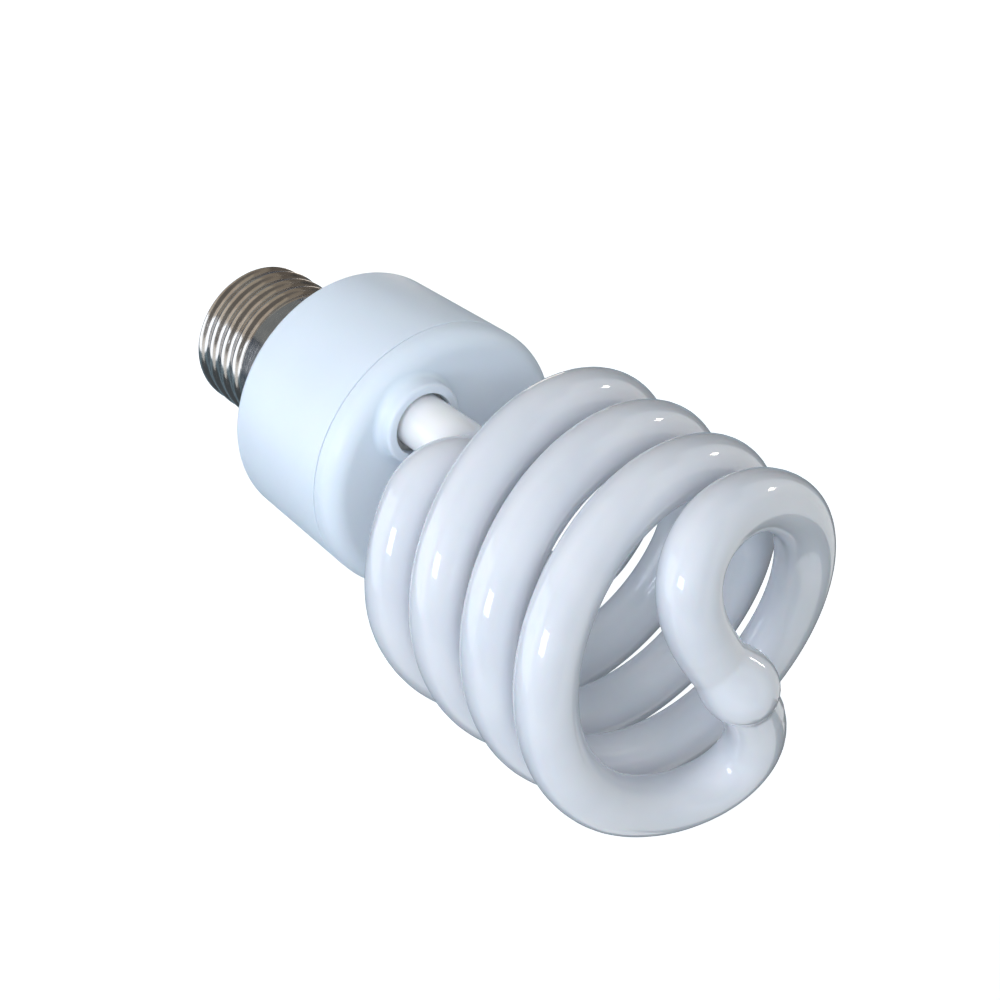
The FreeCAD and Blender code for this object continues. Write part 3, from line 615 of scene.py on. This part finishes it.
# Spiral tube
# One glass tube, coated inside with white powder. It rises from the cover on two legs, winds up in two
# arms and closes over the coil in a crown, with a rounded bead at the middle where it was sealed.
tube_axis = Vector((2.0, 0.0, 0.0))
tube_radius = 4.6
crown_tube_radius = 4.05
coil_radius = 25.1
coil_pitch = 24.0
coil_start_level = 83.1
coil_start_turn = math.radians(288.0)
coil_end_turn = math.radians(908.3)
leg_foot = Vector((-5.3, -13.0, 61.1))
elbow_corner = Vector((-5.3, -13.0, 83.2))
outer_corner = Vector((-0.21, -23.7, 82.2))
crown_height = 7.35
crown_reach = 18.3
crown_lead = 0.86
crown_lean = 0.315
bead_radius = 4.9
bead_rise = 2.55
bead_blend = 5.0
bead_reach, bead_depth, bead_fade = 13, 6, 4
bead_steps, bead_end = 24, 0.002


def coil_point(angle):
    """A place on the coil's centre line."""
    level = coil_start_level + coil_pitch * (angle - coil_start_turn) / math.tau
    return Vector((coil_radius * math.cos(angle), coil_radius * math.sin(angle), level))


def coil_slope(angle):
    """How that place moves with the angle."""
    return Vector((-coil_radius * math.sin(angle), coil_radius * math.cos(angle), coil_pitch / math.tau))


def smooth_step(share):
    """Runs smoothly from 0 to 1 with the share."""
    return share * share * (3 - 2 * share)


crown_low = coil_point(coil_end_turn).z
crown_turn = Matrix.Rotation(coil_end_turn, 3, "Z")
half_coil = coil_radius / 2


def crown_point(share):
    """Half the crown: a half ellipse from the coil's end, at 0, to the lamp's top, at 1."""
    along = half_coil + half_coil * math.cos(math.pi * share)
    along += crown_lean * crown_reach * math.pi * (1 - share) * share ** 4
    aside = crown_reach * math.sin(math.pi * share)
    lead = crown_lead * coil_pitch / 4 * share * (1 - share) ** 2
    return crown_turn @ Vector((along, aside, crown_low + crown_height * smooth_step(share) + lead))


def crown_slope(share):
    """How that place moves with the share."""
    step = 0.001
    return (crown_point(share + step) - crown_point(share - step)) / (2 * step)


def arc_handle(arriving, leaving, reach):
    """Handle length for a round bend that starts and ends at that reach from its corner."""
    bend = arriving.angle(leaving)
    radius = reach / math.tan(bend / 2)
    return 4 / 3 * math.tan(bend / 4) * radius


# Anchors of one arm: place, vector to the left handle, vector to the right handle, share of the radius
up = Vector((0, 0, 1))
first_bend = math.radians(22.15)
first_coil_corner = coil_point(coil_start_turn + first_bend)
first_coil_corner.xy *= 1 / math.cos(first_bend)
outward = (outer_corner - elbow_corner).normalized()
onward = (first_coil_corner - outer_corner).normalized()
bend_reach = (outer_corner - elbow_corner).length / 2
elbow_start = elbow_corner - up * bend_reach
elbow_end = elbow_corner + outward * bend_reach
sweep_start = outer_corner + onward * bend_reach
elbow_handle = arc_handle(up, outward, bend_reach)
sweep_handle = arc_handle(outward, onward, bend_reach)
leg_third = (elbow_start - leg_foot).length / 3

coil_spans = 21
coil_join_turn = coil_start_turn + 2 * first_bend
coil_step = (coil_end_turn - coil_join_turn) / coil_spans
join_reach = (coil_point(coil_join_turn) - sweep_start).length / 3

anchors = [
    (leg_foot, -up, up * leg_third, 1.0),
    (elbow_start, -up * leg_third, up * elbow_handle, 1.0),
    (elbow_end, -outward * elbow_handle, outward * sweep_handle, 1.0),
    (sweep_start, -onward * sweep_handle, onward * join_reach, 1.0),
]
for index in range(coil_spans):
    angle = coil_join_turn + index * coil_step
    handle = coil_slope(angle) * coil_step / 3
    before = coil_slope(angle).normalized() * join_reach if index == 0 else handle
    anchors.append((coil_point(angle), -before, handle, 1.0))
crown_spans = 8
for index in range(crown_spans + 1):
    share = index / crown_spans
    handle = crown_slope(share) / crown_spans / 3
    before = handle
    if index == 0:
        before = coil_slope(coil_end_turn) * coil_step / 3
        tangent = (before.normalized() + handle.normalized()).normalized()
        before, handle = tangent * before.length, tangent * handle.length
    width = 1 - smooth_step(share) * (1 - crown_tube_radius / tube_radius)
    anchors.append((crown_point(share), -before, handle, width))


def half_turned(vector):
    """The same vector in the other arm."""
    return Vector((-vector.x, -vector.y, vector.z))


place, left, right, width = anchors.pop()
first_arm = list(anchors)
anchors.append((place, left, half_turned(left), width))
for place, left, right, width in reversed(first_arm):
    anchors.append((half_turned(place), half_turned(right), half_turned(left), width))

tube_line = bpy.data.curves.new("tube_line", "CURVE")
tube_line.dimensions = "3D"
tube_spline = tube_line.splines.new("BEZIER")
tube_spline.bezier_points.add(len(anchors) - 1)
for point, (place, left, right, width) in zip(tube_spline.bezier_points, anchors):
    place = place + tube_axis
    point.handle_left_type = point.handle_right_type = "FREE"
    point.co = place * MM
    point.handle_left = (place + left) * MM
    point.handle_right = (place + right) * MM
    point.radius = width
tube_spline.resolution_u = 12

# White powder under clear glossy glass, a little uneven in thickness, and whiter low in the legs
whitening_top, whitening_bottom = 82, 72
coated_glass, tree, shader = new_material("coated_glass", roughness=0.42)
powder = graded(tree, fine_noise(tree, 0.09, 2.0), (0.676, 0.709, 0.770), (0.733, 0.757, 0.809))
height = add_node(tree, "ShaderNodeSeparateXYZ")
tree.links.new(add_node(tree, "ShaderNodeTexCoord").outputs["Object"], height.inputs[0])
whiter_leg_mix = add_node(tree, "ShaderNodeMix", data_type="RGBA")
whiter_leg_mix.inputs["B"].default_value = (0.90, 0.91, 0.92, 1)
leg_share = eased(tree, height.outputs["Z"], whitening_top * MM, whitening_bottom * MM)
tree.links.new(leg_share, whiter_leg_mix.inputs["Factor"])
tree.links.new(powder, whiter_leg_mix.inputs["A"])
tree.links.new(whiter_leg_mix.outputs["Result"], shader.inputs["Base Color"])
shader.inputs["Subsurface Weight"].default_value = 0.12
shader.inputs["Subsurface Scale"].default_value = 1.2 * MM
shader.inputs["Coat Weight"].default_value = 1.0
shader.inputs["Coat Roughness"].default_value = 0.03
shader.inputs["Coat IOR"].default_value = glass_ior
bumped(tree, shader, fine_noise(tree, 0.035, 1.0), 0.25, 0.5)

tube_tree = new_tree("glass_tube", Tube_radius=tube_radius * MM, Ring_spacing=0.45 * MM, Sides=40)
inside = add_node(tube_tree, "NodeGroupInput").outputs
spaced = add_node(tube_tree, "GeometryNodeResampleCurve", mode="LENGTH")
profile = add_node(tube_tree, "GeometryNodeCurvePrimitiveCircle", mode="RADIUS")
skin = add_node(tube_tree, "GeometryNodeCurveToMesh")
skin.inputs["Fill Caps"].default_value = True
tube_tree.links.new(inside["Geometry"], spaced.inputs["Curve"])
tube_tree.links.new(inside["Ring spacing"], spaced.inputs["Length"])
tube_tree.links.new(inside["Tube radius"], profile.inputs["Radius"])
tube_tree.links.new(inside["Sides"], profile.inputs["Resolution"])
tube_tree.links.new(spaced.outputs["Curve"], skin.inputs["Curve"])
tube_tree.links.new(profile.outputs["Curve"], skin.inputs["Profile Curve"])
handed_out(tube_tree, skin, coated_glass)

glass = baked(placed("tube_line", tube_line), "glass_tube", tube_tree)
smooth(glass)

# The bead grows out of the crown: points near it move out from the tube's centre line to the ball
crown_middle = (crown_point(1.0) + tube_axis) * MM
crown_direction = crown_slope(1.0).normalized()
bead_centre = crown_middle + up * bead_rise * MM


def round_union(first, second, blend):
    """Joins two distances with a soft fillet between the shapes."""
    overlap = max(blend - abs(first - second), 0) / blend
    return min(first, second) - overlap * overlap * blend / 4


def blended_distance(point):
    """How far a point lies outside the crown's bar and the bead together."""
    offset = point - crown_middle
    offset -= crown_direction * offset.dot(crown_direction)
    to_tube = offset.length - crown_tube_radius * MM
    to_bead = (point - bead_centre).length - bead_radius * MM
    return round_union(to_tube, to_bead, bead_blend * MM)


for vertex in glass.data.vertices:
    from_middle = vertex.co - crown_middle
    if from_middle.length > bead_reach * MM or from_middle.z < -bead_depth * MM:
        continue
    along = from_middle.dot(crown_direction)
    centre = crown_middle + crown_direction * along
    ray = vertex.co - centre
    ray -= crown_direction * ray.dot(crown_direction)
    reach = ray.length
    ray.normalize()
    grown = reach
    for step in range(bead_steps):
        gap = blended_distance(centre + ray * grown)
        if gap > -bead_end * MM:
            break
        grown -= gap
    fade = min(1.0, max(0.0, (bead_reach * MM - abs(along)) / (bead_fade * MM)))
    vertex.co += ray * (grown - reach) * fade

finish_piece(glass, coated_glass, "spiral_tube")

# Tube cement
# A ring of white ceramic cement, run into each collar round the glass and set hard. Its face is matt
# and grainy, and it lies a little below the rim.
# Painted shade: the white cement is coloured dark grey to stand for the shade deep in each collar
cement = plain_finish("cement", (0.34, 0.34, 0.33), (0.50, 0.50, 0.48), 1.1, 0.88, 0.15)
dress(["tube_cement_near", "tube_cement_far"], cement)

# Stage
# The lamp hangs above a pale floor in a soft white world. A tall window in front and a small light behind
# show as highlights, three wide lights only fill the shade, and cards give the plating its stripes.
floor_level, half_floor, floor_glow = -0.16, 3.0, 0.62
square = [(-1, -1), (1, -1), (1, 1), (-1, 1)]
lamp_distance = 1.4
glass_middle = Vector((0, 0, 0.09))
card_shade = 0.8


def seen_ray(tree):
    """One for rays from the camera, from gloss and through glass, which show the pale backdrop."""
    ray = add_node(tree, "ShaderNodeLightPath")
    seen = calculated(tree, "MAXIMUM", ray.outputs["Is Camera Ray"], ray.outputs["Is Glossy Ray"])
    return calculated(tree, "MAXIMUM", seen, ray.outputs["Is Transmission Ray"])


floor_mesh = bpy.data.meshes.new("floor")
floor_places = [(x * half_floor, y * half_floor, floor_level) for x, y in square]
floor_mesh.from_pydata(floor_places, [], [(0, 1, 2, 3)])
floor = placed("floor", floor_mesh)
floor_white, tree, shader = new_material("floor_white", roughness=0.9)
shader.inputs["Specular IOR Level"].default_value = 0.0
paper = graded(tree, fine_noise(tree, 0.02, 2.0), (0.950, 0.950, 0.950), (0.965, 0.965, 0.965))
tree.links.new(paper, shader.inputs["Base Color"])
floor_lift = add_node(tree, "ShaderNodeEmission")
tree.links.new(calculated(tree, "MULTIPLY", seen_ray(tree), floor_glow), floor_lift.inputs["Strength"])
lifted = add_node(tree, "ShaderNodeAddShader")
tree.links.new(shader.outputs["BSDF"], lifted.inputs[0])
tree.links.new(floor_lift.outputs["Emission"], lifted.inputs[1])
tree.links.new(lifted.outputs["Shader"], tree.nodes["Material Output"].inputs["Surface"])
coat(floor_mesh, floor_white)

world = bpy.data.worlds.new("studio")
bpy.context.scene.world = world
world.use_nodes = True
tree = world.node_tree
ambient = tree.nodes["Background"]
ambient.inputs["Color"].default_value = (0.86, 0.95, 1.0, 1)
ambient.inputs["Strength"].default_value = 0.31
backdrop = add_node(tree, "ShaderNodeBackground")
backdrop.inputs["Color"].default_value = (1, 1, 1, 1)
backdrop.inputs["Strength"].default_value = 1.0
choice = add_node(tree, "ShaderNodeMixShader")
tree.links.new(seen_ray(tree), choice.inputs["Fac"])
tree.links.new(ambient.outputs["Background"], choice.inputs[1])
tree.links.new(backdrop.outputs["Background"], choice.inputs[2])
tree.links.new(choice.outputs["Shader"], tree.nodes["World Output"].inputs["Surface"])

# Each light looks at the middle of the glass: direction, width and height, power, colour, shown in gloss
for name, direction, (width, height), power, colour, shines in (
        ("window", (0.53, -0.80, 0.27), (0.30, 0.48), 6.2, (0.78, 0.86, 1.0), True),
        ("side_lamp", (-0.86, 0.47, 0.19), (0.12, 0.12), 0.80, (1.0, 0.92, 0.84), True),
        ("front_fill", (0.10, -0.62, 0.78), (0.9, 0.9), 2.2, (0.70, 1.0, 0.97), False),
        ("side_fill", (0.33, -0.83, 0.53), (0.9, 0.9), 4.3, (0.95, 0.93, 0.99), False),
        ("low_fill", (-0.23, -0.77, 0.60), (0.9, 0.9), 5.6, (0.99, 0.91, 0.90), False)):
    lamp = bpy.data.lights.new(name, "AREA")
    lamp.shape = "RECTANGLE"
    lamp.size = width
    lamp.size_y = height
    lamp.energy = power
    lamp.color = colour
    holder = placed(name, lamp)
    direction = Vector(direction).normalized()
    holder.location = glass_middle + direction * lamp_distance
    holder.rotation_euler = direction.to_track_quat("Z", "Y").to_euler()
    holder.visible_glossy = shines


def reflector_card(name, places, colour):
    """A card, made of four-cornered pieces, that only polished surfaces show."""
    mesh = bpy.data.meshes.new(name)
    faces = [tuple(range(first, first + 4)) for first in range(0, len(places), 4)]
    mesh.from_pydata([tuple(place) for place in places], [], faces)
    card = placed(name, mesh)
    card.visible_camera = card.visible_diffuse = card.visible_shadow = card.visible_transmission = False
    paper, tree = new_material(name)[:2]
    glow = add_node(tree, "ShaderNodeEmission")
    dim = tuple(card_shade * part for part in colour)
    tree.links.new(graded(tree, fine_noise(tree, 0.012, 3.0), dim, colour), glow.inputs["Color"])
    tree.links.new(glow.outputs["Emission"], tree.nodes["Material Output"].inputs["Surface"])
    coat(mesh, paper)


def from_camera(corners):
    """Places from their distances right of, below and in front of the camera."""
    right, down = turn @ level_right, -(turn @ level_up)
    return [camera_place + right * x + down * y + forward * z for x, y, z in corners]


def ring_card(name, start, stop, profile, colour, steps=12):
    """A card round the screw shell, between two compass angles, along a line of reach and height."""
    places = []
    for step in range(steps):
        first = math.radians(start + (stop - start) * step / steps)
        second = math.radians(start + (stop - start) * (step + 1) / steps)
        for near, far in zip(profile, profile[1:]):
            for angle, (reach, height) in ((first, near), (first, far), (second, far), (second, near)):
                places.append((reach * math.cos(angle), reach * math.sin(angle), height))
    reflector_card(name, places, colour)


card_level, wall_top = -0.12, 0.35
inner_edge, dish_edge, card_rim = 0.05, 0.116, 1.2
middle = [(0.0, card_level), (inner_edge, card_level)]
inner_dish = [(inner_edge, card_level), (dish_edge, card_level)]
dish = [(dish_edge, card_level), (card_rim, card_level)]
wall = [(card_rim, card_level), (card_rim, wall_top)]
small_dish = [(0.110, card_level + MM), (0.165, card_level + MM)]
for name, start, stop, profile, colour in (
        ("white_card", -74, -24, dish, (2.1, 2.3, 2.6)),
        ("tan_card", -100, -72, dish, (0.84, 0.77, 0.68)),
        ("brown_card", -130, -100, dish, (0.70, 0.62, 0.53)),
        ("dark_brown_card", -155, -130, dish, (0.54, 0.49, 0.41)),
        ("umber_card", -180, -155, dish, (0.36, 0.32, 0.27)),
        ("dark_umber_card", 143, 180, dish, (0.19, 0.17, 0.15)),
        ("far_card", 126, 143, dish, (0.16, 0.16, 0.16)),
        ("blue_card", -24, 126, dish, (0.20, 0.30, 0.38)),
        ("warm_card", 128, 143, small_dish, (2.2, 2.0, 1.8)),
        ("grey_card", -180, -78, inner_dish, (0.26, 0.30, 0.33)),
        ("navy_card", -78, 180, inner_dish, (0.10, 0.13, 0.18)),
        ("wall_card", -180, -90, wall, (0.20, 0.19, 0.18)),
        ("middle_card", 0, 360, middle, (0.10, 0.11, 0.13))):
    ring_card(name, start, stop, profile, colour)

# Two cards lie just outside the right and the lower edge of the picture, and one hangs behind the camera
frame_edge, frame_spread, frame_far = 0.262, 0.6, 0.9
for name, start, across, colour in (
        ("right_card", 0.38, True, (0.10, 0.10, 0.10)),
        ("bottom_card", 0.34, False, (0.10, 0.12, 0.14))):
    corners = []
    for reach, aside in ((start, -1), (start, 1), (frame_far, 1), (frame_far, -1)):
        edge, along = frame_edge * reach, frame_spread * aside * reach
        corners.append((edge, along, reach) if across else (along, edge, reach))
    reflector_card(name, from_camera(corners), colour)
back_half, back_distance = 2, 0.95
back_corners = [(x * back_half, y * back_half, -back_distance) for x, y in square]
reflector_card("back_card", from_camera(back_corners), (0.20, 0.19, 0.18))

bpy.context.scene.view_settings.view_transform = "Standard"
